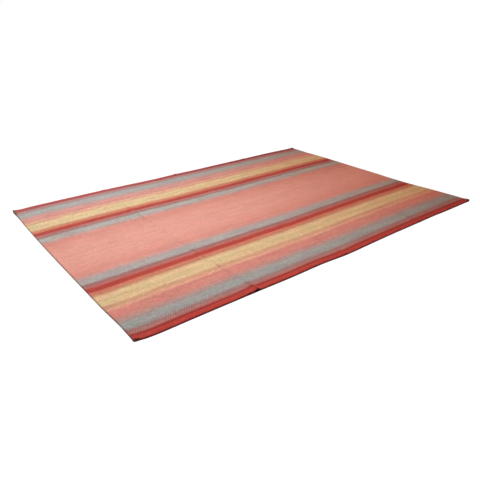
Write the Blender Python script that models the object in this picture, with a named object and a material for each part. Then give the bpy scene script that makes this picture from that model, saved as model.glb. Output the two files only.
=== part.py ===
# Kilim rug: one flat-woven cloth, hemmed along both long edges, lying on a floor.
# Metres. +X runs along the stripes, +Y across them, +Z up. The underside rests on z = 0.
import bisect

import bmesh
import bpy

# Cut size of the finished rug
LENGTH = 2.40
WIDTH = 1.70

# Weave
CLOTH_THICKNESS = 0.004
SELVEDGE_THICKNESS = 0.005
EDGE_ROUNDING = 0.0022
SAME_PLACE = 0.0001

# Spacing of the sheet's sections away from the folds and edges
SECTION_ALONG = 0.075
SECTION_ACROSS = 0.110
NEAREST_SECTIONS = 0.35

# Height of the upper face over each long edge, where the cloth is turned under and sewn down:
# distance in from the edge, height
HEM_SECTION = [
    (0.0000, 0.0058),
    (0.0045, 0.0074),
    (0.0110, 0.0080),
    (0.0250, 0.0077),
    (0.0325, 0.0050),
    (0.0380, 0.0056),
    (0.0650, CLOTH_THICKNESS),
]

# The same over each short end, where the weft turns round a heavier warp:
# distance in from the end, height
SELVEDGE_SECTION = [
    (0.0000, 0.0036),
    (0.0035, 0.0048),
    (0.0065, SELVEDGE_THICKNESS),
    (0.0105, CLOTH_THICKNESS),
]

# How far each side bows out of the straight: distance along the side, bow
FRONT_BOW = [
    (-1.20, -0.0090),
    (-1.00, -0.0030),
    (-0.60, -0.0020),
    (-0.30, 0.0000),
    (0.00, 0.0035),
    (0.28, -0.0010),
    (0.60, -0.0050),
    (0.80, -0.0090),
    (1.20, -0.0050),
]
BACK_BOW = [
    (-1.20, -0.0150),
    (-0.92, -0.0040),
    (-0.76, -0.0050),
    (-0.55, -0.0005),
    (-0.20, -0.0120),
    (0.04, -0.0050),
    (0.12, -0.0110),
    (0.60, -0.0070),
    (0.92, -0.0035),
    (1.20, -0.0115),
]
LEFT_BOW = [
    (-0.85, -0.0050),
    (-0.53, 0.0000),
    (0.10, 0.0024),
    (0.50, -0.0040),
    (0.76, -0.0100),
    (0.85, -0.0100),
]
RIGHT_BOW = [
    (-0.85, 0.0050),
    (-0.59, 0.0010),
    (-0.35, -0.0115),
    (-0.23, -0.0095),
    (-0.10, -0.0010),
    (0.15, 0.0030),
    (0.45, 0.0160),
    (0.55, 0.0180),
    (0.65, 0.0110),
    (0.85, 0.0040),
]

# Creases left by folding the rug for storage. Each crosses the full width as a low soft ridge:
# place along the rug, half-width of the ridge, and its rise at points across the rug
CREASES = [
    {
        "along": -0.60,
        "half_width": 0.030,
        "rise": [
            (-0.85, 0.0100),
            (-0.81, 0.0080),
            (-0.72, 0.0040),
            (-0.40, 0.0028),
            (0.00, 0.0015),
            (0.40, 0.0040),
            (0.60, 0.0030),
            (0.85, 0.0020),
        ],
    },
    {
        "along": -0.02,
        "half_width": 0.028,
        "rise": [
            (-0.85, 0.0040),
            (-0.70, 0.0020),
            (0.00, 0.0012),
            (0.45, 0.0020),
            (0.85, 0.0030),
        ],
    },
    {
        "along": 0.64,
        "half_width": 0.028,
        "rise": [
            (-0.85, 0.0045),
            (-0.70, 0.0022),
            (0.00, 0.0012),
            (0.40, 0.0030),
            (0.85, 0.0020),
        ],
    },
]
CREASE_SECTIONS = (-1.0, -0.55, -0.22, 0.0, 0.22, 0.55, 1.0)

# Corners that curl up off the floor: side along, side across, reach of the curl, rise at the tip
CORNER_CURLS = [
    (-1, 1, 0.085, 0.0090),
    (1, -1, 0.075, 0.0050),
    (-1, -1, 0.060, 0.0035),
]
CURL_SECTIONS = (0.025, 0.050, 0.085)

CLOTH_COLOUR = (0.80, 0.33, 0.25, 1.0)
CLOTH_ROUGHNESS = 0.92


def remove_old_objects():
    for old in list(bpy.data.objects):
        bpy.data.objects.remove(old, do_unlink=True)


def along_table(table, at):
    """Value of a two-column table, on a smooth curve through its rows."""
    places = [row[0] for row in table]
    if at <= places[0]:
        return table[0][1]
    if at >= places[-1]:
        return table[-1][1]
    i = bisect.bisect_right(places, at) - 1
    x0, y0 = table[i]
    x1, y1 = table[i + 1]
    span = x1 - x0
    t = (at - x0) / span
    slope0 = table_slope(table, i) * span
    slope1 = table_slope(table, i + 1) * span
    stay = y0 * (2 * t**3 - 3 * t**2 + 1) + y1 * (3 * t**2 - 2 * t**3)
    turn = slope0 * (t**3 - 2 * t**2 + t) + slope1 * (t**3 - t**2)
    return stay + turn


def table_slope(table, i):
    """Slope of the smooth curve at row i: level at a peak or a dip, so it never overshoots."""
    if i == 0 or i == len(table) - 1:
        return 0.0
    before = (table[i][1] - table[i - 1][1]) / (table[i][0] - table[i - 1][0])
    after = (table[i + 1][1] - table[i][1]) / (table[i + 1][0] - table[i][0])
    if before * after <= 0:
        return 0.0
    return 2 * before * after / (before + after)


def sections(half, step, chosen):
    """Places of the sheet's sections from -half to half: the chosen ones, and even ones between."""
    count = round(2 * half / step)
    even = [-half + 2 * half * i / count for i in range(1, count)]
    kept = [place for place in even if min(abs(place - c) for c in chosen) > step * NEAREST_SECTIONS]
    return sorted(kept + chosen)


def sections_along():
    chosen = []
    for crease in CREASES:
        chosen += [crease["along"] + crease["half_width"] * part for part in CREASE_SECTIONS]
    for side in (-1, 1):
        chosen += [side * (LENGTH / 2 - inset) for inset, height in SELVEDGE_SECTION]
        chosen += [side * (LENGTH / 2 - inset) for inset in CURL_SECTIONS]
    return sections(LENGTH / 2, SECTION_ALONG, chosen)


def sections_across():
    chosen = []
    for side in (-1, 1):
        chosen += [side * (WIDTH / 2 - inset) for inset, height in HEM_SECTION]
        chosen.append(side * (WIDTH / 2 - CURL_SECTIONS[-1]))
    return sections(WIDTH / 2, SECTION_ACROSS, chosen)


def in_plan(x, y):
    """Where a point of the straight cloth lies once its sides have bowed."""
    right_share = 0.5 + x / LENGTH
    back_share = 0.5 + y / WIDTH
    moved_x = x + along_table(RIGHT_BOW, y) * right_share - along_table(LEFT_BOW, y) * (1 - right_share)
    moved_y = y + along_table(BACK_BOW, x) * back_share - along_table(FRONT_BOW, x) * (1 - back_share)
    return moved_x, moved_y


def lift(x, y):
    """How far the underside stands off the floor."""
    height = 0.0
    for crease in CREASES:
        t = min(abs(x - crease["along"]) / crease["half_width"], 1.0)
        height += along_table(crease["rise"], y) * (1 - t) ** 2 * (1 + 2 * t)
    for side_along, side_across, reach, rise in CORNER_CURLS:
        gap_along = LENGTH / 2 - side_along * x
        gap_across = WIDTH / 2 - side_across * y
        t = min((gap_along**2 + gap_across**2) ** 0.5 / reach, 1.0)
        height += rise * (1 - t) ** 2
    return height


def thickness(x, y):
    from_long_edge = WIDTH / 2 - abs(y)
    from_short_end = LENGTH / 2 - abs(x)
    hem = along_table(HEM_SECTION, from_long_edge)
    selvedge = along_table(SELVEDGE_SECTION, from_short_end)
    return hem + selvedge - CLOTH_THICKNESS


def outward(x, y):
    """Which side's edge a point lies on, as a step off the sheet along and across."""
    on_end = abs(abs(x) - LENGTH / 2) < SAME_PLACE
    on_side = abs(abs(y) - WIDTH / 2) < SAME_PLACE
    step_along = (1 if x > 0 else -1) if on_end else 0
    step_across = (1 if y > 0 else -1) if on_side else 0
    return step_along, step_across


def cloth_mesh():
    along = sections_along()
    across = sections_across()
    bm = bmesh.new()
    bmesh.ops.create_grid(bm, x_segments=len(along) - 1, y_segments=len(across) - 1, size=1.0)
    for vert in bm.verts:
        i = round((vert.co.x + 1) / 2 * (len(along) - 1))
        j = round((vert.co.y + 1) / 2 * (len(across) - 1))
        vert.co = (along[i], across[j], 0.0)
    grown = bmesh.ops.extrude_face_region(bm, geom=bm.faces[:], use_keep_orig=True)
    upper = [item for item in grown["geom"] if isinstance(item, bmesh.types.BMVert)]
    bmesh.ops.translate(bm, verts=upper, vec=(0, 0, 1))
    walls = [edge for edge in bm.edges if edge.verts[0].co.z != edge.verts[1].co.z]
    bmesh.ops.subdivide_edges(bm, edges=walls, cuts=1)
    for vert in bm.verts:
        x, y, share_up = vert.co
        moved_x, moved_y = in_plan(x, y)
        if share_up != 0.5:
            step_along, step_across = outward(x, y)
            moved_x -= step_along * EDGE_ROUNDING
            moved_y -= step_across * EDGE_ROUNDING
        vert.co = (moved_x, moved_y, lift(x, y) + thickness(x, y) * share_up)
    centre_in_plan(bm)
    bmesh.ops.recalc_face_normals(bm, faces=bm.faces[:])
    mesh = bpy.data.meshes.new("kilim_cloth")
    bm.to_mesh(mesh)
    bm.free()
    return mesh


def centre_in_plan(bm):
    """The origin is the middle of the rug's own outline."""
    xs = [vert.co.x for vert in bm.verts]
    ys = [vert.co.y for vert in bm.verts]
    shift = (-(min(xs) + max(xs)) / 2, -(min(ys) + max(ys)) / 2, 0.0)
    bmesh.ops.translate(bm, verts=bm.verts[:], vec=shift)


def cloth_material():
    material = bpy.data.materials.new("woven_cloth")
    material.use_nodes = True
    shader = material.node_tree.nodes["Principled BSDF"]
    shader.inputs["Base Color"].default_value = CLOTH_COLOUR
    shader.inputs["Roughness"].default_value = CLOTH_ROUGHNESS
    shader.inputs["Metallic"].default_value = 0.0
    return material


def make_cloth():
    mesh = cloth_mesh()
    mesh.materials.append(cloth_material())
    mesh.shade_smooth()
    cloth = bpy.data.objects.new("kilim_cloth", mesh)
    bpy.context.scene.collection.objects.link(cloth)
    return cloth


remove_old_objects()
make_cloth()
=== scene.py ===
import bisect
import math

import bmesh
import bpy
from mathutils import Matrix, Vector, noise


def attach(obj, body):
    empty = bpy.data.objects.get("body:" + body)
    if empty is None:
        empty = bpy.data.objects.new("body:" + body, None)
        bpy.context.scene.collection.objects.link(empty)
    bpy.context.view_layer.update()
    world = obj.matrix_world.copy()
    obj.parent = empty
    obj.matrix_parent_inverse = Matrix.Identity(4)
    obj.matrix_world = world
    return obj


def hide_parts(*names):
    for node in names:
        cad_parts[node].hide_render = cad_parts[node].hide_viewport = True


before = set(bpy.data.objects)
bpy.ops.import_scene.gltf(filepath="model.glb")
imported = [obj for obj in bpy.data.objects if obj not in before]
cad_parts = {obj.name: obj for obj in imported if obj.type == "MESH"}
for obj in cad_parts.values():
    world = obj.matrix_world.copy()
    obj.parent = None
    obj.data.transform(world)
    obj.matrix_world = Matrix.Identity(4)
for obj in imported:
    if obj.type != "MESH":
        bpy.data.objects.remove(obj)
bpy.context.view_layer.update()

# Kilim rug: one flat-woven cloth with stripes along its length, a sewn hem along each long edge,
# and a wrapped selvedge at each short end. Metres; +X along the stripes, +Y across, +Z up.

cloth = {
    "length": 2.40,
    "width": 1.70,
    "thickness": 0.004,
    "selvedgeThickness": 0.005,
    "edgeRounding": 0.0022,
    "edgeLayers": 3,  # rings between the upper and the lower face, round the whole edge
    "edgeBulge": 0.7,  # power that makes the edge's section fuller than a half circle
    "edgeFall": 0.008,  # how much of the weave's measure goes down an edge
    "samePlace": 0.0001,
    "sectionAlong": 0.0086,
    "sectionAcross": 0.0125,
    "nearestSections": 0.4,
    "hemAllowance": 0.033,  # turned under along each long edge
    "hemSection": [  # in from the long edge, height of the upper face
        (0.0000, 0.0058),
        (0.0022, 0.0068),
        (0.0050, 0.0076),
        (0.0110, 0.0080),
        (0.0180, 0.0079),
        (0.0250, 0.0077),
        (0.0295, 0.0068),
        (0.0325, 0.0050),
        (0.0355, 0.0052),
        (0.0400, 0.0055),
        (0.0500, 0.0047),
        (0.0650, 0.0040),
    ],
    "selvedgeSection": [  # in from the short end, height of the upper face
        (0.0000, 0.0036),
        (0.0018, 0.0043),
        (0.0035, 0.0048),
        (0.0065, 0.0050),
        (0.0105, 0.0040),
    ],
    "puffs": 0.0004,  # soft unevenness of the upper face
    "puffSize": (0.085, 0.050),
    "hemPucker": 0.0005,  # puckers between the hem's stitches
    "hemPuckerSize": 0.022,
    "hemPuckerReach": 1.3,  # of the hem's allowance, from the edge to where the puckers end
    "edgeWander": 0.0009,  # small in-and-out of the whole edge
    "edgeWanderSize": 0.070,
    "cornerRounding": 0.0085,
    "yarnOffFloor": 0.0001,  # the yarn round the edges stands this much higher than the cloth
}

# How far each side bows out of the straight: distance along the side, bow
bows = {
    "front": [
        (-1.20, -0.0125),
        (-1.14, -0.0040),
        (-1.08, -0.0015),
        (-0.95, -0.0025),
        (-0.60, -0.0015),
        (-0.40, 0.0015),
        (-0.20, -0.0010),
        (0.00, 0.0075),
        (0.20, 0.0022),
        (0.40, -0.0022),
        (0.60, -0.0038),
        (0.80, -0.0062),
        (0.95, -0.0035),
        (1.20, -0.0040),
    ],
    "back": [
        (-1.20, -0.0120),
        (-1.05, 0.0004),
        (-0.80, 0.0020),
        (-0.55, 0.0028),
        (-0.20, -0.0080),
        (0.04, -0.0030),
        (0.12, -0.0070),
        (0.35, -0.0030),
        (0.60, -0.0020),
        (0.92, 0.0020),
        (1.20, -0.0065),
    ],
    "left": [
        (-0.85, -0.0018),
        (-0.82, -0.0042),
        (-0.79, -0.0044),
        (-0.73, -0.0056),
        (-0.60, -0.0018),
        (-0.53, -0.0003),
        (0.10, 0.0004),
        (0.50, -0.0040),
        (0.76, -0.0100),
        (0.85, -0.0100),
    ],
    "right": [
        (-0.85, 0.0050),
        (-0.75, 0.0085),
        (-0.59, 0.0025),
        (-0.35, -0.0110),
        (-0.23, -0.0095),
        (-0.10, -0.0010),
        (0.15, 0.0060),
        (0.45, 0.0165),
        (0.55, 0.0180),
        (0.65, 0.0135),
        (0.78, 0.0180),
        (0.85, 0.0120),
    ],
}

# Creases left by folding the rug for storage: place along it, half-width, rise at points across,
# and how much painted shade darkens the crest at points across (below 0, a painted highlight lightens
# it)
creases = [
    {
        "along": -0.60,
        "halfWidth": 0.030,
        "rise": [
            (-0.85, 0.0106),
            (-0.81, 0.0082),
            (-0.72, 0.0038),
            (-0.40, 0.0024),
            (0.00, 0.0012),
            (0.40, 0.0034),
            (0.60, 0.0026),
            (0.85, 0.0020),
        ],
        "crestShade": [
            (-0.85, 0.24),
            (-0.78, 0.20),
            (-0.73, 0.08),
            (-0.66, 0.03),
            (-0.637, 0.07),
            (-0.615, 0.16),
            (-0.592, 0.14),
            (-0.574, 0.04),
            (-0.560, 0.28),
            (-0.545, 0.32),
            (-0.530, 0.05),
            (-0.510, 0.03),
            (-0.475, 0.03),
            (-0.450, 0.20),
            (-0.405, 0.17),
            (-0.370, 0.04),
            (-0.330, 0.13),
            (-0.280, 0.03),
            (-0.20, 0.05),
            (0.15, 0.06),
            (0.27, 0.22),
            (0.33, 0.20),
            (0.375, -0.12),
            (0.43, 0.06),
            (0.52, 0.05),
            (0.62, 0.03),
        ],
    },
    {  # beside it at the front hem, so that the fold rises slowly and drops steeply
        "along": -0.632,
        "halfWidth": 0.036,
        "rise": [
            (-0.85, 0.0040),
            (-0.81, 0.0028),
            (-0.74, 0.0003),
            (-0.70, 0.0000),
        ],
        "crestShade": [
            (-0.85, 0.0),
            (0.85, 0.0),
        ],
    },
    {
        "along": -0.02,
        "halfWidth": 0.028,
        "rise": [
            (-0.85, 0.0040),
            (-0.70, 0.0020),
            (0.00, 0.0012),
            (0.45, 0.0020),
            (0.85, 0.0030),
        ],
        "crestShade": [
            (-0.85, 0.06),
            (-0.40, -0.05),
            (0.20, -0.04),
            (0.85, 0.05),
        ],
    },
    {
        "along": 0.64,
        "halfWidth": 0.028,
        "rise": [
            (-0.85, 0.0045),
            (-0.70, 0.0022),
            (0.00, 0.0012),
            (0.40, 0.0030),
            (0.85, 0.0020),
        ],
        "crestShade": [
            (-0.85, 0.12),
            (-0.75, 0.14),
            (-0.66, 0.02),
            (0.20, 0.03),
            (0.27, 0.22),
            (0.33, 0.22),
            (0.385, -0.12),
            (0.45, 0.06),
            (0.52, 0.05),
            (0.62, 0.03),
        ],
    },
]
creaseShape = {
    "sections": (-1.0, -0.78, -0.55, -0.38, -0.22, -0.1, 0.0, 0.1, 0.22, 0.38, 0.55, 0.78, 1.0),
    "crestShare": 0.12,  # of the rise that is a narrow crest on the soft ridge
    "crestWidth": 0.40,  # of the ridge's half-width
    "wander": 0.0035,  # how far the crest strays from a straight line
    "wanderSize": 0.16,
    "wanderApart": 7.3,  # so that no two folds stray alike
    "crestShadeHalfWidth": 0.0120,
}

# Corners that curl up: side along, side across, reach, rise at the tip
cornerCurls = [
    (-1, 1, 0.070, 0.0055),
    (1, -1, 0.060, 0.0010),
    (-1, -1, 0.060, 0.0035),
]


# Value of a two-column table on a smooth curve through its rows
def alongTable(table, at):
    places = [row[0] for row in table]
    if at <= places[0]:
        return table[0][1]
    if at >= places[-1]:
        return table[-1][1]
    i = bisect.bisect_right(places, at) - 1
    x0, y0 = table[i]
    x1, y1 = table[i + 1]
    span = x1 - x0
    t = (at - x0) / span
    stay = y0 * (2 * t**3 - 3 * t**2 + 1) + y1 * (3 * t**2 - 2 * t**3)
    turnIn = tableSlope(table, i) * span * (t**3 - 2 * t**2 + t)
    turnOut = tableSlope(table, i + 1) * span * (t**3 - t**2)
    return stay + turnIn + turnOut


# Level at a peak or a dip, so that the curve never overshoots its rows
def tableSlope(table, i):
    if i == 0 or i == len(table) - 1:
        return 0.0
    before = (table[i][1] - table[i - 1][1]) / (table[i][0] - table[i - 1][0])
    after = (table[i + 1][1] - table[i][1]) / (table[i + 1][0] - table[i][0])
    if before * after <= 0:
        return 0.0
    return 2 * before * after / (before + after)


# Places from -half to half: the chosen ones, and even ones between
def sections(half, step, chosen):
    count = round(2 * half / step)
    nearest = step * cloth["nearestSections"]
    even = [-half + 2 * half * i / count for i in range(1, count)]
    kept = [place for place in even if min(abs(place - c) for c in chosen) > nearest]
    return sorted(kept + chosen)


def sectionsAlong():
    chosen = []
    for crease in creases:
        chosen += [crease["along"] + crease["halfWidth"] * part for part in creaseShape["sections"]]
    for side in (-1, 1):
        chosen += [side * (cloth["length"] / 2 - inset) for inset, height in cloth["selvedgeSection"]]
    return sections(cloth["length"] / 2, cloth["sectionAlong"], chosen)


def sectionsAcross():
    chosen = []
    for side in (-1, 1):
        chosen += [side * (cloth["width"] / 2 - inset) for inset, height in cloth["hemSection"]]
    return sections(cloth["width"] / 2, cloth["sectionAcross"], chosen)


# Draws the square corners of the cut in to a small round
def roundedCorner(x, y):
    radius = cloth["cornerRounding"]
    u = 1 - (cloth["length"] / 2 - abs(x)) / radius
    v = 1 - (cloth["width"] / 2 - abs(y)) / radius
    if u <= 0 or v <= 0:
        return x, y
    inAlong = radius * u * (1 - math.sqrt(1 - v * v / 2))
    inAcross = radius * v * (1 - math.sqrt(1 - u * u / 2))
    return x - math.copysign(inAlong, x), y - math.copysign(inAcross, y)


# Where a point of the straight cloth lies once its sides have bowed
def inPlan(x, y):
    x, y = roundedCorner(x, y)
    rightShare = 0.5 + x / cloth["length"]
    backShare = 0.5 + y / cloth["width"]
    outRight = alongTable(bows["right"], y) * rightShare
    outLeft = alongTable(bows["left"], y) * (1 - rightShare)
    outBack = alongTable(bows["back"], x) * backShare
    outFront = alongTable(bows["front"], x) * (1 - backShare)
    return x + outRight - outLeft, y + outBack - outFront


# The origin is the middle of the rug's own outline
def outlineShift():
    halfLength, halfWidth = cloth["length"] / 2, cloth["width"] / 2
    rightmost = max(inPlan(halfLength, y)[0] for y in sectionsAcross())
    leftmost = min(inPlan(-halfLength, y)[0] for y in sectionsAcross())
    backmost = max(inPlan(x, halfWidth)[1] for x in sectionsAlong())
    frontmost = min(inPlan(x, -halfWidth)[1] for x in sectionsAlong())
    return Vector((-(rightmost + leftmost) / 2, -(backmost + frontmost) / 2, 0.0))


shift = outlineShift()


def softNoise(x, y, seed):
    return noise.noise(Vector((x, y, seed)))


# Distance along the rug from a fold's crest
def fromCrest(order, x, y):
    stray = softNoise(y / creaseShape["wanderSize"], order * creaseShape["wanderApart"], seed=2.5)
    return abs(x - creases[order]["along"] - creaseShape["wander"] * stray)


# How much painted shade darkens a point on the crests of the folds; below 0, a painted highlight
def paintedFoldShade(x, y):
    crestShade = 0.0
    for order, crease in enumerate(creases):
        t = fromCrest(order, x, y) / creaseShape["crestShadeHalfWidth"]
        if t < 1.0:
            crestShade += alongTable(crease["crestShade"], y) * (1 - t) ** 2 * (1 + 2 * t)
    return crestShade


# How far the underside stands off the floor
def lift(x, y):
    height = 0.0
    for order, crease in enumerate(creases):
        t = fromCrest(order, x, y) / crease["halfWidth"]
        if t >= 1.0:
            continue
        soft = (1 - t) ** 2 * (1 + 2 * t)
        crest = max(0.0, 1 - t / creaseShape["crestWidth"])
        share = creaseShape["crestShare"]
        height += alongTable(crease["rise"], y) * (soft * (1 - share) + crest * share)
    for sideAlong, sideAcross, reach, rise in cornerCurls:
        gapAlong = cloth["length"] / 2 - sideAlong * x
        gapAcross = cloth["width"] / 2 - sideAcross * y
        t = min(math.hypot(gapAlong, gapAcross) / reach, 1.0)
        height += rise * (1 - t) ** 2
    return height


def thickness(x, y):
    fromLongEdge = cloth["width"] / 2 - abs(y)
    fromShortEnd = cloth["length"] / 2 - abs(x)
    hem = alongTable(cloth["hemSection"], fromLongEdge)
    end = alongTable(cloth["selvedgeSection"], fromShortEnd)
    puffAlong, puffAcross = cloth["puffSize"]
    puff = cloth["puffs"] * softNoise(x / puffAlong, y / puffAcross, seed=0.7)
    allowance = cloth["hemAllowance"]
    onHem = (allowance * cloth["hemPuckerReach"] - fromLongEdge) / allowance
    onHem = max(0.0, min(1.0, onHem))
    pucker = softNoise(x / cloth["hemPuckerSize"], math.copysign(9.0, y), seed=3.1)
    return hem + end - cloth["thickness"] + puff + cloth["hemPucker"] * onHem * pucker


# A point of the finished cloth: shareUp is 0 on its underside and 1 on its upper face
def onCloth(x, y, shareUp=1.0):
    movedX, movedY = inPlan(x, y)
    return Vector((movedX, movedY, lift(x, y) + thickness(x, y) * shareUp)) + shift


# Which side's edge a point lies on, as a step off the cloth
def edgeStep(x, y):
    onEnd = abs(abs(x) - cloth["length"] / 2) < cloth["samePlace"]
    onSide = abs(abs(y) - cloth["width"] / 2) < cloth["samePlace"]
    return Vector((math.copysign(onEnd, x), math.copysign(onSide, y), 0.0))


# Vertices of a flat grid, at the given places along and across the cloth
def sectionedGrid(along, across):
    bm = bmesh.new()
    bmesh.ops.create_grid(bm, x_segments=len(along) - 1, y_segments=len(across) - 1, size=1.0)
    for vert in bm.verts:
        i = round((vert.co.x + 1) / 2 * (len(along) - 1))
        j = round((vert.co.y + 1) / 2 * (len(across) - 1))
        vert.co = (along[i], across[j], 0.0)
    return bm


def finishPiece(name, bm, material, smooth=True):
    mesh = bpy.data.meshes.new(name)
    bm.to_mesh(mesh)
    bm.free()
    mesh.materials.append(material)
    if smooth:
        mesh.shade_smooth()
    piece = bpy.data.objects.new(name, mesh)
    bpy.context.scene.collection.objects.link(piece)
    return piece


# Materials: small helpers, then one function for each finish


def addNode(tree, kind, **settings):
    node = tree.nodes.new(kind)
    for name, value in settings.items():
        setattr(node, name, value)
    return node


# Links a socket to a value, or sets it
def feed(tree, socket, value):
    if isinstance(value, bpy.types.NodeSocket):
        tree.links.new(value, socket)
    else:
        socket.default_value = value


def calc(tree, operation, *values):
    node = addNode(tree, "ShaderNodeMath", operation=operation)
    for socket, value in zip(node.inputs, values):
        feed(tree, socket, value)
    return node.outputs[0]


def combine(tree, x, y, z=0.0):
    node = addNode(tree, "ShaderNodeCombineXYZ")
    for socket, value in zip(node.inputs, (x, y, z)):
        feed(tree, socket, value)
    return node.outputs[0]


# Soft noise around 0.5
def cloudy(tree, place, scale, detail=2.0):
    node = addNode(tree, "ShaderNodeTexNoise")
    feed(tree, node.inputs["Vector"], place)
    feed(tree, node.inputs["Scale"], scale)
    feed(tree, node.inputs["Detail"], detail)
    return node.outputs["Fac"]


# The same, on two measures with a scale each
def stretchedNoise(tree, first, second, firstScale, secondScale, detail=2.0):
    firstPlace = calc(tree, "MULTIPLY", first, firstScale)
    secondPlace = calc(tree, "MULTIPLY", second, secondScale)
    return cloudy(tree, combine(tree, firstPlace, secondPlace), 1.0, detail)


def blendColours(tree, way, share, first, second):
    node = addNode(tree, "ShaderNodeMix", data_type="RGBA", blend_type=way)
    feed(tree, node.inputs["Factor"], share)
    feed(tree, node.inputs[6], first)
    feed(tree, node.inputs[7], second)
    return node.outputs[2]


# 0..1 to low..high
def spread(tree, value, low, high):
    return calc(tree, "MULTIPLY_ADD", value, high - low, low)


# Value between two bounds to low..high, held beyond them
def between(tree, value, start, end, low=0.0, high=1.0):
    node = addNode(tree, "ShaderNodeMapRange", interpolation_type="SMOOTHSTEP")
    bounds = {"Value": value, "From Min": start, "From Max": end, "To Min": low, "To Max": high}
    for name, given in bounds.items():
        feed(tree, node.inputs[name], given)
    return node.outputs["Result"]


def bumpFrom(tree, shader, height, depth, strength=0.8):
    bump = addNode(tree, "ShaderNodeBump")
    bump.inputs["Strength"].default_value = strength
    bump.inputs["Distance"].default_value = depth
    feed(tree, bump.inputs["Height"], height)
    feed(tree, shader.inputs["Normal"], bump.outputs["Normal"])


def newMaterial(name):
    material = bpy.data.materials.new(name)
    material.use_nodes = True
    tree = material.node_tree
    return material, tree, tree.nodes["Principled BSDF"]


woolSurface = {"sheenRoughness": 0.5, "specular": 0.12}


def woolGloss(shader, sheen):
    shader.inputs["Sheen Weight"].default_value = sheen
    shader.inputs["Sheen Roughness"].default_value = woolSurface["sheenRoughness"]
    shader.inputs["Specular IOR Level"].default_value = woolSurface["specular"]


# Display colour to the shader's linear colour
def linear(colour):
    return tuple(c / 12.92 if c <= 0.04045 else ((c + 0.055) / 1.055) ** 2.4 for c in colour) + (1.0,)


# Dyed yarns, as display colours. Those of the back half that differ are lighter from its silver to
# its sand stripes, a painted sheen of glancing light, and a little darker from its peach stripe out
# to its hem.
frontYarns = {
    "salmon": (0.905, 0.640, 0.580),
    "salmonDeep": (0.889, 0.607, 0.543),
    "rose": (0.868, 0.582, 0.528),
    "roseGrey": (0.760, 0.622, 0.592),
    "silver": (0.690, 0.660, 0.643),
    "mauve": (0.638, 0.430, 0.412),
    "pinkRed": (0.740, 0.415, 0.382),
    "pinkGrey": (0.733, 0.488, 0.454),
    "brick": (0.721, 0.281, 0.240),
    "flame": (0.832, 0.490, 0.400),
    "rust": (0.771, 0.510, 0.394),
    "camel": (0.826, 0.628, 0.490),
    "straw": (0.885, 0.746, 0.574),
    "sand": (0.842, 0.728, 0.538),
    "peach": (0.888, 0.648, 0.544),
    "coral": (0.836, 0.541, 0.488),
    "ash": (0.634, 0.625, 0.608),
    "ashRose": (0.702, 0.574, 0.544),
    "red": (0.735, 0.264, 0.232),
    "redDark": (0.630, 0.226, 0.198),
}
backYarns = {
    **frontYarns,
    "silver": (0.714, 0.698, 0.669),
    "mauve": (0.672, 0.502, 0.482),
    "pinkRed": (0.764, 0.463, 0.445),
    "pinkGrey": (0.757, 0.531, 0.513),
    "brick": (0.734, 0.310, 0.272),
    "flame": (0.856, 0.514, 0.420),
    "rust": (0.808, 0.548, 0.424),
    "camel": (0.838, 0.636, 0.488),
    "straw": (0.897, 0.765, 0.586),
    "sand": (0.856, 0.754, 0.556),
    "peach": (0.882, 0.640, 0.518),
    "coral": (0.822, 0.529, 0.472),
    "ash": (0.626, 0.625, 0.608),
    "ashRose": (0.686, 0.556, 0.532),
    "red": (0.727, 0.238, 0.218),
    "redDark": (0.628, 0.206, 0.188),
}

# Stripes from the middle of the rug outwards: distance from the middle, the yarn of the odd
# warps, the yarn of the even warps. Between rows one yarn blends into the next.
stripes = [
    (0.000, "salmon", "salmon"),
    (0.028, "salmonDeep", "salmon"),
    (0.052, "salmon", "salmon"),
    (0.120, "salmon", "salmonDeep"),
    (0.170, "salmonDeep", "salmonDeep"),
    (0.198, "rose", "rose"),
    (0.222, "rose", "rose"),
    (0.241, "rose", "roseGrey"),
    (0.264, "roseGrey", "silver"),
    (0.286, "silver", "silver"),
    (0.312, "silver", "silver"),
    (0.326, "mauve", "mauve"),
    (0.340, "mauve", "mauve"),
    (0.350, "pinkRed", "pinkGrey"),
    (0.362, "pinkRed", "pinkRed"),
    (0.370, "brick", "brick"),
    (0.402, "brick", "brick"),
    (0.411, "flame", "flame"),
    (0.421, "flame", "flame"),
    (0.430, "rust", "rust"),
    (0.444, "rust", "camel"),
    (0.456, "straw", "straw"),
    (0.484, "straw", "straw"),
    (0.496, "sand", "sand"),
    (0.514, "sand", "straw"),
    (0.540, "straw", "straw"),
    (0.553, "camel", "camel"),
    (0.568, "camel", "camel"),
    (0.578, "peach", "peach"),
    (0.588, "peach", "peach"),
    (0.598, "coral", "coral"),
    (0.648, "coral", "coral"),
    (0.672, "coral", "ashRose"),
    (0.700, "ashRose", "ash"),
    (0.714, "ash", "ash"),
    (0.752, "ash", "ash"),
    (0.770, "redDark", "ash"),
    (0.799, "red", "ashRose"),
    (0.811, "redDark", "redDark"),
    (0.815, "redDark", "redDark"),
    (0.821, "red", "red"),
    (0.850, "red", "red"),
]

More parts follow.
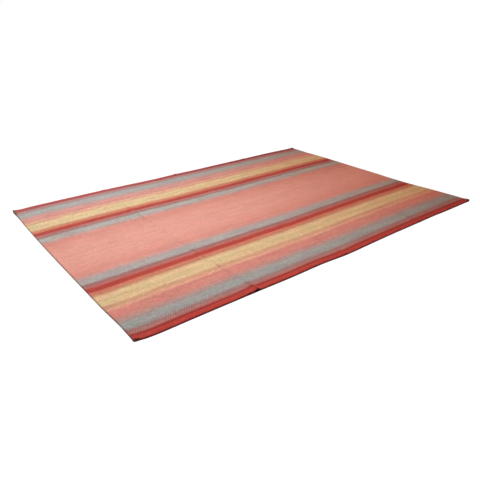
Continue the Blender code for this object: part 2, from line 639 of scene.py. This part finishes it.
weave = {
    "warpPitch": 0.0056,
    "pickPitch": 0.0034,  # two picks, because every other one passes behind a warp
    "checkPicks": 3.0,  # where two yarns are mixed, they change places after so many picks
    "checkStrength": 0.42,
    "mixDepth": 0.006,  # a pick takes its yarn from within this width of the stripes
    "stripeWander": 0.0022,
    "beadPower": 0.6,  # below 1, it flattens the top of each pick
    "ribHeight": 0.0007,
    "fibreHeight": 0.15,  # of the rib's height
    "brightness": 0.95,
    "roughness": (0.87, 0.97),
    "sheen": 0.04,
    "plainMiddle": (0.16, 0.28),  # inside it, the uneven places below show less
    "slub": (0.03, 0.50),  # thick and thin places of the yarn
    "blotch": (0.15, 0.27),  # uneven dye over a hand's breadth
    "hueShift": (0.07, 0.21),  # from pinker to greener
    "hueShiftRed": -0.4,  # what the shift of hue does to the red, and to the blue
    "hueShiftBlue": 0.45,
    "hueShiftAdded": 0.1,
    "backUneven": 1.45,  # all three are stronger in the back half
    "backUnevenFrom": (-0.1, 0.5),
    "paintedSheen": 0.10,  # painted sheen: the outer stripes of the back half are lighter still, as under glancing light
    "paintedSheenFrom": (0.40, 0.68),
    "paintedSheenTo": (0.79, 0.83),
    "paintedSheenOnHem": 0.55,
    "seamShade": 0.35,  # at the cut edge of each turned-under hem, below
    "seamReach": (0.0008, 0.0035),
}

# Noise on the cloth's own measures: scale along the picks, scale across them, detail
grain = {
    "wander": (1.7, 5.0, 2.0),  # of the stripes' edges
    "slub": (52.0, 66.0, 2.0),
    "blotch": (8.0, 22.0, 2.0),
    "hueShift": (9.5, 26.0, 1.0),
    "streak": (5.0, 260.0, 3.0),  # long ones in each pick
    "line": (2.5, 90.0, 2.0),  # wider and longer ones
    "hue": (8.0, 80.0, 2.0),
    "fibre": (900.0, 3200.0, 2.0),
    "cold": (60.0, 16.0, 2.0),  # here the scale across comes first
}

# Lowest and highest factor on the yarn's colour
tones = {
    "streak": (0.81, 1.19),
    "line": (0.89, 1.11),
    "speck": (0.89, 1.11),  # from pick to pick
    "fibre": (0.90, 1.10),
    "pickShading": (0.72, 1.08),  # painted shade between the picks, and a painted highlight on the top of each
    "hue": (-0.03, 0.03),  # added to the green's factor
    "cold": (0.92, 1.08),  # on the blue alone
}

rampSpan = 0.425  # a colour ramp holds 32 stops, so the stripes take two ramps of this span


# Colour ramp of one part of the stripes' span, for the odd (1) or the even (2) warps
def stripeRamp(tree, distance, warp, start, yarns):
    node = addNode(tree, "ShaderNodeValToRGB")
    place = calc(tree, "DIVIDE", calc(tree, "SUBTRACT", distance, start), rampSpan)
    feed(tree, node.inputs["Fac"], place)
    stops = node.color_ramp.elements
    rows = [row for row in stripes if start <= row[0] <= start + rampSpan]
    if start > 0:
        rows = [row for row in stripes if row[0] < start][-1:] + rows
    while len(stops) > 1:
        stops.remove(stops[-1])
    for i, row in enumerate(rows):
        at = max(0.0, (row[0] - start) / rampSpan)
        stop = stops[0] if i == 0 else stops.new(at)
        stop.position = at
        stop.color = linear(yarns[row[warp]])
    return node.outputs["Color"]


# The yarn of one warp at a distance from the middle, in the colours of its half
def stripeColour(tree, across, distance, warp):
    isOuter = calc(tree, "GREATER_THAN", distance, rampSpan)
    isBack = calc(tree, "GREATER_THAN", across, 0.0)
    halves = []
    for yarns in (frontYarns, backYarns):
        inner = stripeRamp(tree, distance, warp, 0.0, yarns)
        outer = stripeRamp(tree, distance, warp, rampSpan, yarns)
        halves.append(blendColours(tree, "MIX", isOuter, inner, outer))
    return blendColours(tree, "MIX", isBack, *halves)


# The cloth's own measures in metres, from its UV map: along it, across it, and out from the middle
def cutPlace(tree):
    cut = addNode(tree, "ShaderNodeUVMap", uv_map="weave")
    split = addNode(tree, "ShaderNodeSeparateXYZ")
    feed(tree, split.inputs[0], cut.outputs[0])
    along, across = split.outputs[0], split.outputs[1]
    return along, across, calc(tree, "ABSOLUTE", across)


def wovenWool():
    material, tree, shader = newMaterial("wovenWool")
    along, across, fromMiddle = cutPlace(tree)

    # Warps run across the rug: each is one column of the picks that pass over it
    column = calc(tree, "DIVIDE", along, weave["warpPitch"])
    columnNumber = calc(tree, "FLOOR", column)
    odd = calc(tree, "FLOORED_MODULO", columnNumber, 2.0)
    rib = calc(tree, "SINE", calc(tree, "MULTIPLY", calc(tree, "FRACT", column), math.pi))
    pick = calc(tree, "MULTIPLY_ADD", odd, 0.5, calc(tree, "DIVIDE", across, weave["pickPitch"]))
    pickNumber = calc(tree, "FLOOR", pick)
    roundPick = calc(tree, "SINE", calc(tree, "MULTIPLY", calc(tree, "FRACT", pick), math.pi))
    bead = calc(tree, "POWER", calc(tree, "MULTIPLY", rib, roundPick), weave["beadPower"])

    # The two yarns of a row of the stripes change places from warp to warp and every few picks
    turnedAt = calc(tree, "FLOOR", calc(tree, "DIVIDE", pickNumber, weave["checkPicks"]))
    oddYarn = calc(tree, "FLOORED_MODULO", calc(tree, "ADD", columnNumber, turnedAt), 2.0)
    halfStrength = weave["checkStrength"] / 2
    oddShare = spread(tree, oddYarn, 0.5 - halfStrength, 0.5 + halfStrength)

    # Each pick's yarn, and how far it strays from its place in the stripes
    chance = addNode(tree, "ShaderNodeTexWhiteNoise", noise_dimensions="1D")
    feed(tree, chance.inputs["W"], pickNumber)
    offset = calc(tree, "SUBTRACT", chance.outputs["Value"], 0.5)
    stray = calc(tree, "MULTIPLY", offset, weave["mixDepth"])
    slow = stretchedNoise(tree, along, across, *grain["wander"])
    wander = calc(tree, "MULTIPLY", calc(tree, "SUBTRACT", slow, 0.5), 2 * weave["stripeWander"])
    distance = calc(tree, "ADD", calc(tree, "ADD", fromMiddle, stray), wander)
    evenAndOdd = [stripeColour(tree, across, distance, warp) for warp in (2, 1)]
    colour = blendColours(tree, "MIX", oddShare, *evenAndOdd)

    # Uneven yarn: thick and thin places, blotches and turns of hue, each less in the plain middle
    backShare = between(tree, across, *weave["backUnevenFrom"], 1.0, weave["backUneven"])

    def unevenness(name):
        drift = calc(tree, "SUBTRACT", stretchedNoise(tree, along, across, *grain[name]), 0.5)
        strength = between(tree, fromMiddle, *weave["plainMiddle"], *weave[name])
        return calc(tree, "MULTIPLY", drift, calc(tree, "MULTIPLY", strength, backShare))

    slub = calc(tree, "ADD", unevenness("slub"), 1.0)
    blotch = calc(tree, "ADD", unevenness("blotch"), 1.0)
    hueShift = unevenness("hueShift")

    # Long streaks in each pick, wider lines, single picks, fibres, and painted shade between picks
    # with a painted highlight on the top of each
    streak = spread(tree, stretchedNoise(tree, along, across, *grain["streak"]), *tones["streak"])
    line = spread(tree, stretchedNoise(tree, along, across, *grain["line"]), *tones["line"])
    single = addNode(tree, "ShaderNodeTexWhiteNoise", noise_dimensions="2D")
    feed(tree, single.inputs["Vector"], combine(tree, pickNumber, columnNumber))
    speck = spread(tree, single.outputs["Value"], *tones["speck"])
    fibre = stretchedNoise(tree, along, across, *grain["fibre"])
    fibreTone = spread(tree, fibre, *tones["fibre"])
    pickShading = spread(tree, bead, *tones["pickShading"])
    tone = weave["brightness"]
    for part in (streak, line, blotch, slub, speck, fibreTone, pickShading):
        tone = calc(tree, "MULTIPLY", part, tone)
    hue = spread(tree, stretchedNoise(tree, along, across, *grain["hue"]), *tones["hue"])
    cold = spread(tree, stretchedNoise(tree, across, along, *grain["cold"]), *tones["cold"])
    redder = calc(tree, "MULTIPLY_ADD", hueShift, weave["hueShiftRed"], 1.0)
    greener = calc(tree, "ADD", calc(tree, "ADD", hue, hueShift), 1.0)
    bluer = calc(tree, "MULTIPLY_ADD", hueShift, weave["hueShiftBlue"], cold)
    toneOfEach = [calc(tree, "MULTIPLY", tone, part) for part in (redder, greener, bluer)]
    toned = blendColours(tree, "MULTIPLY", 1.0, colour, combine(tree, *toneOfEach))

    # Painted sheen: a pale veil added on the outer stripes of the back half, less on its hem
    sheenVeilIn = between(tree, across, *weave["paintedSheenFrom"], 0.0, weave["paintedSheen"])
    sheenVeilOut = between(tree, across, *weave["paintedSheenTo"], 1.0, weave["paintedSheenOnHem"])
    sheenVeil = calc(tree, "MULTIPLY", sheenVeilIn, sheenVeilOut)
    sheenAndWarmth = calc(tree, "MULTIPLY_ADD", hueShift, weave["hueShiftAdded"], sheenVeil)
    toned = blendColours(tree, "ADD", 1.0, toned, combine(tree, sheenVeil, sheenAndWarmth, sheenVeil))

    # Painted shade round the edges and on the underside, painted shade and highlight along the crests
    # of the folds, and a darker line at the cut edge of each turned-under hem, below
    shade = addNode(tree, "ShaderNodeAttribute", attribute_name="edgeShade")
    crestShade = addNode(tree, "ShaderNodeAttribute", attribute_name="paintedFoldShade")
    under = addNode(tree, "ShaderNodeAttribute", attribute_name="underside")
    seamPlace = cloth["width"] / 2 - cloth["hemAllowance"]
    fromSeam = calc(tree, "ABSOLUTE", calc(tree, "SUBTRACT", fromMiddle, seamPlace))
    seam = between(tree, fromSeam, *weave["seamReach"], weave["seamShade"], 0.0)
    dark = calc(tree, "MULTIPLY_ADD", seam, under.outputs["Fac"], shade.outputs["Fac"])
    kept = calc(tree, "SUBTRACT", 1.0, calc(tree, "ADD", dark, crestShade.outputs["Fac"]))
    toned = blendColours(tree, "MULTIPLY", 1.0, toned, combine(tree, kept, kept, kept))
    feed(tree, shader.inputs["Base Color"], toned)
    feed(tree, shader.inputs["Roughness"], spread(tree, fibre, *weave["roughness"]))
    woolGloss(shader, weave["sheen"])
    relief = calc(tree, "MULTIPLY_ADD", fibre, weave["fibreHeight"], bead)
    bumpFrom(tree, shader, relief, weave["ribHeight"])
    return material


# Yarn of the selvedges and sewing thread: scales of their noise, and the tones that it gives
wrap = {
    "plyScales": (90.0, 1500.0),
    "plyTones": (0.65, 1.35),
    "plyHeight": 0.0004,
    "blotchScale": 22.0,
    "blotchTones": (0.75, 1.25),
    "roughness": (0.84, 0.96),
}


# Yarn wrapped round the short ends: it keeps something of the stripe that it comes out of
def wrappedWool(name, wrapColour, wrapShare):
    material, tree, shader = newMaterial(name)
    along, across, fromMiddle = cutPlace(tree)
    place = addNode(tree, "ShaderNodeTexCoord").outputs["Object"]
    split = addNode(tree, "ShaderNodeSeparateXYZ")
    feed(tree, split.inputs[0], place)
    plies = stretchedNoise(tree, split.outputs[0], split.outputs[1], *wrap["plyScales"])
    plyTone = spread(tree, plies, *wrap["plyTones"])
    blotchTone = spread(tree, cloudy(tree, place, wrap["blotchScale"]), *wrap["blotchTones"])
    tone = calc(tree, "MULTIPLY", plyTone, blotchTone)
    stripe = stripeColour(tree, across, fromMiddle, 1)
    colour = blendColours(tree, "MIX", wrapShare, stripe, linear(wrapColour))
    toned = blendColours(tree, "MULTIPLY", 1.0, colour, combine(tree, tone, tone, tone))
    feed(tree, shader.inputs["Base Color"], toned)
    feed(tree, shader.inputs["Roughness"], spread(tree, plies, *wrap["roughness"]))
    woolGloss(shader, weave["sheen"])
    bumpFrom(tree, shader, plies, wrap["plyHeight"])
    return material


thread = {
    "plyScale": 5200.0,
    "plyTones": (0.5, 1.0),
    "plyHeight": 0.0002,
    "dyeScale": 30.0,
    "dyeTones": (0.75, 1.25),
    "backLeftPast": (1.9, 2.0),  # metres back and left together, past which the thread is lighter
    "roughness": (0.75, 0.65),
    "sheen": 0.02,
}


# Twisted thread: the plies run round it on a slant
def sewnThread(name, colour, backLeftColour):
    material, tree, shader = newMaterial(name)
    place = addNode(tree, "ShaderNodeTexCoord").outputs["Object"]
    split = addNode(tree, "ShaderNodeSeparateXYZ")
    feed(tree, split.inputs[0], place)
    slant = calc(tree, "ADD", split.outputs[0], calc(tree, "ADD", split.outputs[1], split.outputs[2]))
    twist = calc(tree, "SINE", calc(tree, "MULTIPLY", slant, thread["plyScale"]))
    ply = spread(tree, twist, *thread["plyTones"])
    dye = spread(tree, cloudy(tree, place, thread["dyeScale"]), *thread["dyeTones"])
    tone = calc(tree, "MULTIPLY", ply, dye)
    backAndLeft = calc(tree, "SUBTRACT", split.outputs[1], split.outputs[0])
    atBackLeft = between(tree, backAndLeft, *thread["backLeftPast"])
    dyed = blendColours(tree, "MIX", atBackLeft, linear(colour), linear(backLeftColour))
    toned = blendColours(tree, "MULTIPLY", 1.0, dyed, combine(tree, tone, tone, tone))
    feed(tree, shader.inputs["Base Color"], toned)
    feed(tree, shader.inputs["Roughness"], spread(tree, ply, *thread["roughness"]))
    woolGloss(shader, thread["sheen"])
    bumpFrom(tree, shader, ply, thread["plyHeight"])
    return material


woven = wovenWool()


# The cloth

# Painted shade, as a darkening of the cloth's colour: on its rim, its sides and underside, near its
# corners, and at the far edge of the back hem
edgeShades = {
    "top": 0.0,
    "rim": 0.26,
    "side": 0.60,
    "under": 0.45,
    "corner": 0.40,
    "cornerReach": 0.022,
    "backHem": [  # along the rug, how much painted shade darkens the far edge of the back hem
        (-1.20, 0.05),
        (-0.60, 0.14),
        (0.00, 0.32),
        (0.80, 0.58),
        (1.20, 0.58),
    ],
    "backHemReach": 0.042,
}

# The cloth laid out for baking: most of the square for its upper face, then the four edges, then
# the underside. Lowest and highest place up the square.
bakeLayout = {
    "upper": (0.226, 0.999),
    "right": (0.2175, 0.2225),
    "left": (0.2120, 0.2170),
    "back": (0.2065, 0.2115),
    "front": (0.2010, 0.2060),
    "under": (0.001, 0.198),
}
bakeMargin = 0.001


def whichFace(face):
    shares = [vert.co.z for vert in face.verts]
    if min(shares) == 1:
        return "upper"
    if max(shares) == 0:
        return "under"
    middle = face.calc_center_median()
    if cloth["length"] / 2 - abs(middle.x) < cloth["samePlace"]:
        return "right" if middle.x > 0 else "left"
    return "back" if middle.y > 0 else "front"


# Place in the square, for a point of one face of the straight cloth
def bakePlace(side, x, y, share):
    low, high = bakeLayout[side]
    alongShare = x / cloth["length"] + 0.5
    acrossShare = y / cloth["width"] + 0.5
    ahead = acrossShare if side in ("left", "right") else alongShare
    up = acrossShare if side in ("upper", "under") else share
    return bakeMargin + (1 - 2 * bakeMargin) * ahead, low + (high - low) * up


# How much painted shade darkens a point of the cloth
def edgeShade(x, y, share):
    step = edgeStep(x, y)
    if step.length == 0:
        shade = edgeShades["top"] if share == 1 else edgeShades["under"]
    else:
        shade = edgeShades["rim"] if share == 1 else edgeShades["side"]
    onBackHem = max(0.0, 1 - (cloth["width"] / 2 - y) / edgeShades["backHemReach"])
    shade = max(shade, alongTable(edgeShades["backHem"], x) * onBackHem)
    toCorner = math.hypot(cloth["length"] / 2 - abs(x), cloth["width"] / 2 - abs(y))
    near = max(0.0, 1 - toCorner / edgeShades["cornerReach"])
    return max(shade, edgeShades["corner"] * near)


def makeCloth():
    bm = sectionedGrid(sectionsAlong(), sectionsAcross())
    grown = bmesh.ops.extrude_face_region(bm, geom=bm.faces[:], use_keep_orig=True)
    upper = [item for item in grown["geom"] if isinstance(item, bmesh.types.BMVert)]
    bmesh.ops.translate(bm, verts=upper, vec=(0, 0, 1))
    walls = [edge for edge in bm.edges if edge.verts[0].co.z != edge.verts[1].co.z]
    bmesh.ops.subdivide_edges(bm, edges=walls, cuts=cloth["edgeLayers"])
    bmesh.ops.recalc_face_normals(bm, faces=bm.faces[:])

    # The cloth's own cut, in metres: its length and its width, carried on round the edges
    cut = bm.loops.layers.uv.new("weave")
    bake = bm.loops.layers.uv.new("OFBake")
    # Painted shade round the edges and along the fold crests, carried on the vertices
    shade = bm.verts.layers.float.new("edgeShade")
    crestShade = bm.verts.layers.float.new("paintedFoldShade")
    under = bm.verts.layers.float.new("underside")
    for face in bm.faces:
        side = whichFace(face)
        for loop in face.loops:
            x, y, share = loop.vert.co
            step = edgeStep(x, y)
            fall = 0.0 if side in ("upper", "under") else (1 - share) * cloth["edgeFall"]
            loop[cut].uv = (x + step.x * fall + cloth["length"] / 2, y + step.y * fall)
            loop[bake].uv = bakePlace(side, x, y, share)
    for vert in bm.verts:
        x, y, share = vert.co
        step = edgeStep(x, y)
        vert[shade] = edgeShade(x, y, share)
        vert[crestShade] = paintedFoldShade(x, y) * share
        vert[under] = 1.0 if share == 0 else 0.0
        bulge = math.sin(math.pi * share) ** cloth["edgeBulge"] if 0 < share < 1 else 0.0
        place = onCloth(x, y, share) - step * cloth["edgeRounding"] * (1 - bulge)
        if step.length > 0:
            size = cloth["edgeWanderSize"]
            place += step * cloth["edgeWander"] * softNoise(x / size, y / size, seed=5.3)
        vert.co = place
    return finishPiece("kilimSheet", bm, woven)


kilimSheet = makeCloth()
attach(kilimSheet, "root")
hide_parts("kilim_cloth")
print("cloth", len(kilimSheet.data.polygons), "faces")


# Selvedges, hem stitches and corner tacks: small rounded turns of yarn on the cloth's edge

selvedge = {
    "pitch": 0.0034,  # one turn of the weft
    "inset": 0.0042,
    "fromCorner": 0.003,
    "halfSizes": (0.0050, 0.0021, 0.0026),  # along the rug, across it, up
    "cover": 0.0002,  # of yarn over the cloth's faces
    "unevenness": 0.16,
    "unevenStep": 0.37,  # from one turn to the next
    "slopeFrom": 0.002,  # where the cloth's slope is read, in from the turn, and the step for it
    "slopeStep": 0.001,
    "wrapColour": (0.50, 0.44, 0.42),
    "wrapShare": 0.45,
}

hemStitch = {
    "pitch": 0.0120,
    "inset": 0.0322,
    "fromCorner": 0.025,
    "halfSizes": (0.0036, 0.0008, 0.0008),
    "height": 0.0002,  # of a stitch's middle over the cloth
    "strayAlong": 0.0012,
    "strayAlongStep": 0.71,  # from one stitch to the next
    "strayAcross": 0.0006,
    "strayAcrossStep": 0.53,
    "slopeStep": 0.002,
    "colour": (0.42, 0.10, 0.09),
}

cornerTack = {
    "corners": [  # side along, side across, turns round the short end over the hem's open end,
        (-1, -1, 0, 3),  # and turns round the long edge, away from the corner
        (-1, 1, 8, 8),
        (1, -1, 8, 8),
        (1, 1, 8, 8),
    ],
    "endStart": 0.004,  # the first turn of each row, from the corner
    "endPitch": 0.0042,
    "endInset": 0.0046,
    "endHalfSizes": (0.0056, 0.0020),
    "endCover": 0.0009,  # of yarn over the cloth's faces
    "sideStart": 0.010,
    "sidePitch": 0.0056,
    "sideInset": 0.0040,
    "sideHalfSizes": (0.0048, 0.0020),
    "sideCover": 0.0006,
    "leastHalfHeight": 0.0030,
    "lean": 0.25,
    "knotHalfSizes": (0.0075, 0.0060, 0.0052),
    "knotSink": 0.35,  # of its half-height, into the cloth
    "knotHeight": 0.0002,
    "knotSlants": (-0.4, 1.3),  # of its two turns, across the rug
    "knotSecondSize": 0.86,  # of the first turn's
    "knots": [  # side along, side across, in from the short end, in from the long edge, size
        (-1, 1, 0.0085, 0.0180, 1.30),
        (-1, 1, 0.0050, 0.0550, 1.15),
        (1, -1, 0.0090, 0.0100, 0.66),
        (1, -1, 0.0065, 0.0180, 0.66),
        (1, -1, 0.0055, 0.0260, 0.62),
        (1, -1, 0.0055, 0.0340, 0.55),
        (1, 1, 0.0070, 0.0060, 0.80),
    ],
    # a pale knot in the dark turns at the front right corner: a painted highlight
    "highlightKnots": [
        (1, -1, 0.0300, 0.0130, 0.80),
    ],
    "colour": (0.22, 0.10, 0.09),
    "backLeftColour": (0.60, 0.51, 0.45),  # lighter, at the back-left corner
    "highlightColour": (0.80, 0.62, 0.59),
}


# One rounded turn of yarn, its length along the given direction. It is made in a mesh of its own,
# because an operator slows down on a mesh that holds hundreds of turns.
def addTurn(bm, centre, direction, halfSizes, cutAt):
    ahead = direction.normalized()
    sideways = Vector((0, 0, 1)).cross(ahead).normalized()
    upward = ahead.cross(sideways)
    turned = Matrix((upward, sideways, ahead)).transposed().to_4x4()
    sized = Matrix.Diagonal((halfSizes[2], halfSizes[1], halfSizes[0], 1.0))
    place = Matrix.Translation(centre) @ turned @ sized
    turn = bmesh.new()
    bmesh.ops.create_uvsphere(turn, u_segments=6, v_segments=4, radius=1.0, matrix=place)
    bmesh.ops.recalc_face_normals(turn, faces=turn.faces[:])
    cut = turn.loops.layers.uv.new("weave")
    for face in turn.faces:
        for loop in face.loops:
            loop[cut].uv = (cutAt[0] + cloth["length"] / 2, cutAt[1])
    turn.to_mesh(oneTurn)
    turn.free()
    bm.from_mesh(oneTurn)


def newYarnMesh():
    bm = bmesh.new()
    bm.loops.layers.uv.new("weave")
    return bm


# The cloth's slope along the rug
def clothTangent(x, y, step):
    return onCloth(x + step, y) - onCloth(x - step, y)


# The middle of a turn that goes right round the cloth's edge: just off the floor
def standingOn(x, y, halfHeight):
    centre = onCloth(x, y, 0.0)
    centre.z = lift(x, y) + halfHeight + cloth["yarnOffFloor"]
    return centre


def makeSelvedge(name, end):
    bm = newYarnMesh()
    run = cloth["width"] - 2 * selvedge["fromCorner"]
    count = round(run / selvedge["pitch"])
    x = end * (cloth["length"] / 2 - selvedge["inset"])
    for i in range(count):
        y = -cloth["width"] / 2 + selvedge["fromCorner"] + (i + 0.5) * run / count
        uneven = softNoise(i * selvedge["unevenStep"], end * 4.0, seed=8.1)
        sizes = [half * (1 + selvedge["unevenness"] * uneven) for half in selvedge["halfSizes"]]
        sizes[2] = max(sizes[2], thickness(x, y) / 2 + selvedge["cover"])
        slope = clothTangent(x - end * selvedge["slopeFrom"], y, selvedge["slopeStep"])
        addTurn(bm, standingOn(x, y, sizes[2]), slope, sizes, (x, y))
    return finishPiece(name, bm, wrapped)


def makeHemStitches(name, side):
    bm = newYarnMesh()
    count = round((cloth["length"] - 2 * hemStitch["fromCorner"]) / hemStitch["pitch"])
    for i in range(count):
        x = -cloth["length"] / 2 + hemStitch["fromCorner"] + (i + 0.5) * hemStitch["pitch"]
        stray = softNoise(i * hemStitch["strayAlongStep"], side * 3.0, seed=1.9)
        x += hemStitch["strayAlong"] * stray
        stray = softNoise(i * hemStitch["strayAcrossStep"], side, seed=6.6)
        y = side * (cloth["width"] / 2 - hemStitch["inset"] + hemStitch["strayAcross"] * stray)
        centre = onCloth(x, y) + Vector((0, 0, hemStitch["height"]))
        slope = clothTangent(x, y, hemStitch["slopeStep"])
        addTurn(bm, centre, slope, hemStitch["halfSizes"], (x, y))
    return finishPiece(name, bm, hemThread)


# A turn that goes right round the edge: as thick as the cloth there
def addTack(bm, x, y, direction, halfSizes, cover):
    halfHeight = max(thickness(x, y) / 2 + cover, cornerTack["leastHalfHeight"])
    addTurn(bm, standingOn(x, y, halfHeight), direction, (*halfSizes, halfHeight), (x, y))


def makeCornerTacks(name):
    bm = newYarnMesh()
    halfLength, halfWidth = cloth["length"] / 2, cloth["width"] / 2
    for end, side, endTurns, sideTurns in cornerTack["corners"]:
        for i in range(endTurns):
            x = end * (halfLength - cornerTack["endInset"])
            y = side * (halfWidth - cornerTack["endStart"] - i * cornerTack["endPitch"])
            lean = cornerTack["lean"] * softNoise(i * 1.7, end + 2.0 * side, seed=4.4)
            ahead = Vector((1.0, lean, 0.0))
            addTack(bm, x, y, ahead, cornerTack["endHalfSizes"], cornerTack["endCover"])
        for i in range(sideTurns):
            x = end * (halfLength - cornerTack["sideStart"] - i * cornerTack["sidePitch"])
            y = side * (halfWidth - cornerTack["sideInset"])
            lean = cornerTack["lean"] * softNoise(i * 1.3, end + 2.0 * side, seed=7.7)
            ahead = Vector((lean, 1.0, 0.0))
            addTack(bm, x, y, ahead, cornerTack["sideHalfSizes"], cornerTack["sideCover"])
    addKnots(bm, cornerTack["knots"])
    return finishPiece(name, bm, tackThread)


# A pale knot that paints the highlight inside the dark turns at the front right corner
def makeHighlightKnots(name):
    bm = newYarnMesh()
    addKnots(bm, cornerTack["highlightKnots"])
    return finishPiece(name, bm, highlightThread)


# Each knot is two crossed turns that stand on the cloth's edge
def addKnots(bm, knots):
    for end, side, insetAlong, insetAcross, size in knots:
        x = end * (cloth["length"] / 2 - insetAlong)
        y = side * (cloth["width"] / 2 - insetAcross)
        sizes = [half * size for half in cornerTack["knotHalfSizes"]]
        smaller = [half * cornerTack["knotSecondSize"] for half in sizes]
        centre = onCloth(x, y, 0.0)
        risen = max(sizes[2], thickness(x, y) - sizes[2] * cornerTack["knotSink"])
        centre.z = lift(x, y) + risen + cornerTack["knotHeight"]
        for slant, turnSizes in zip(cornerTack["knotSlants"], (sizes, smaller)):
            addTurn(bm, centre, Vector((end, side * slant, 0.0)), turnSizes, (x, y))


wrapped = wrappedWool("selvedgeWool", selvedge["wrapColour"], selvedge["wrapShare"])
hemThread = sewnThread("hemThread", hemStitch["colour"], hemStitch["colour"])
tackThread = sewnThread("tackThread", cornerTack["colour"], cornerTack["backLeftColour"])
highlightThread = sewnThread("highlightThread", cornerTack["highlightColour"], cornerTack["highlightColour"])
oneTurn = bpy.data.meshes.new("oneTurn")
edgeYarns = [
    makeSelvedge("selvedgeLeft", -1),
    makeSelvedge("selvedgeRight", 1),
    makeHemStitches("hemStitchesFront", -1),
    makeHemStitches("hemStitchesBack", 1),
    makeCornerTacks("cornerTacks"),
    makeHighlightKnots("highlightKnots"),
]
bpy.data.meshes.remove(oneTurn)
for piece in edgeYarns:
    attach(piece, "root")
    print(piece.name, len(piece.data.polygons), "faces")


# Stage, light and camera

stage = {
    "floorSize": 400.0,
    "floorDrop": 0.0003,
    "floorColour": (0.06, 0.06, 0.06, 1.0),  # most of its paleness is its own glow
    "floorRoughness": 0.95,
    "floorGlow": 1.0,
    "shadeReach": 0.0008,  # how far the painted shadow under the rug shows round it
    "shadeDrop": 0.0002,
    "shadeColour": (0.050, 0.022, 0.020, 1.0),
    "horizonGlow": 1.0,
    "wallsReach": (0.04, 0.16),  # white all round, up to this sine of the height
    "ceilingGlow": 0.02,
}

lamps = [  # name, place, aimed at, sizes, watts, colour
    ("windowLeft", (-0.716, 0.0, 2.03), (-0.716, 0.0, 0.0), (0.8, 3.0), 65.6, (0.61, 0.881, 1.0)),
    ("warmCeiling", (0.0, 0.0, 4.0), (0.0, 0.0, 0.0), (5.0, 5.0), 123.0, (1.0, 0.365, 0.085)),
]

# The camera was set against a straight cut rug, and moves with it
cameraSetting = {
    "place": (-1.7965, -2.2767, 1.1444),
    "turn": math.radians(-37.691),
    "down": math.radians(25.468),
    "roll": math.radians(0.464),
    "lens": 36.483,
    "sensor": 36.0,
    "sees": 600.0,  # as far as the floor's far corner
}


def makeFloor():
    bm = bmesh.new()
    bmesh.ops.create_grid(bm, x_segments=1, y_segments=1, size=stage["floorSize"] / 2)
    bmesh.ops.translate(bm, verts=bm.verts[:], vec=(0, 0, -stage["floorDrop"]))
    material, tree, shader = newMaterial("paleFloor")
    shader.inputs["Base Color"].default_value = stage["floorColour"]
    shader.inputs["Roughness"].default_value = stage["floorRoughness"]
    shader.inputs["Specular IOR Level"].default_value = 0.0
    shader.inputs["Emission Color"].default_value = (1.0, 1.0, 1.0, 1.0)
    shader.inputs["Emission Strength"].default_value = stage["floorGlow"]
    return finishPiece("floor", bm, material, smooth=False)


# A dark patch of floor under the rug, a painted shadow: it shows as a dark line round the rug, and
# under the lifted folds
def makeShade():
    bm = sectionedGrid(sectionsAlong(), sectionsAcross())
    for vert in bm.verts:
        x, y = vert.co.xy
        movedX, movedY = inPlan(x, y)
        place = Vector((movedX, movedY, -stage["shadeDrop"])) + shift
        vert.co = place + edgeStep(x, y) * stage["shadeReach"]
    material, tree, shader = newMaterial("floorInShade")
    shader.inputs["Base Color"].default_value = stage["shadeColour"]
    shader.inputs["Roughness"].default_value = 1.0
    shader.inputs["Specular IOR Level"].default_value = 0.0
    return finishPiece("floorInShade", bm, material, smooth=False)


def makeLamp(name, place, aim, sizes, watts, colour):
    data = bpy.data.lights.new(name, "AREA")
    data.shape = "RECTANGLE"
    data.size, data.size_y = sizes
    data.energy = watts
    data.color = colour
    lamp = bpy.data.objects.new(name, data)
    lamp.location = place
    lamp.rotation_euler = (Vector(aim) - Vector(place)).to_track_quat("-Z", "Y").to_euler()
    bpy.context.scene.collection.objects.link(lamp)


# A pale band round the horizon lights the rug. To the camera it is a plain white backdrop.
def makeWorld():
    world = bpy.data.worlds.new("studio")
    world.use_nodes = True
    tree = world.node_tree
    split = addNode(tree, "ShaderNodeSeparateXYZ")
    feed(tree, split.inputs[0], addNode(tree, "ShaderNodeTexCoord").outputs["Generated"])
    low, high = stage["wallsReach"]
    glow = between(tree, split.outputs[2], low, high, stage["horizonGlow"], stage["ceilingGlow"])
    background = tree.nodes["Background"]
    background.inputs["Color"].default_value = (1.0, 1.0, 1.0, 1.0)
    seen = addNode(tree, "ShaderNodeLightPath").outputs["Is Camera Ray"]
    feed(tree, background.inputs["Strength"], calc(tree, "MAXIMUM", glow, seen))
    bpy.context.scene.world = world


def makeCamera():
    data = bpy.data.cameras.new("camera")
    data.lens = cameraSetting["lens"]
    data.sensor_width = cameraSetting["sensor"]
    data.clip_end = cameraSetting["sees"]
    camera = bpy.data.objects.new("camera", data)
    turned = Matrix.Rotation(cameraSetting["turn"], 4, "Z")
    tilted = Matrix.Rotation(math.radians(90) - cameraSetting["down"], 4, "X")
    rolled = Matrix.Rotation(-cameraSetting["roll"], 4, "Z")
    stands = Matrix.Translation(Vector(cameraSetting["place"]) + shift)
    camera.matrix_world = stands @ turned @ tilted @ rolled
    bpy.context.scene.collection.objects.link(camera)
    bpy.context.scene.camera = camera


makeFloor()
makeShade()
for lamp in lamps:
    makeLamp(*lamp)
makeWorld()
makeCamera()
bpy.context.scene.view_settings.view_transform = "Standard"
print("stage, lights and camera")
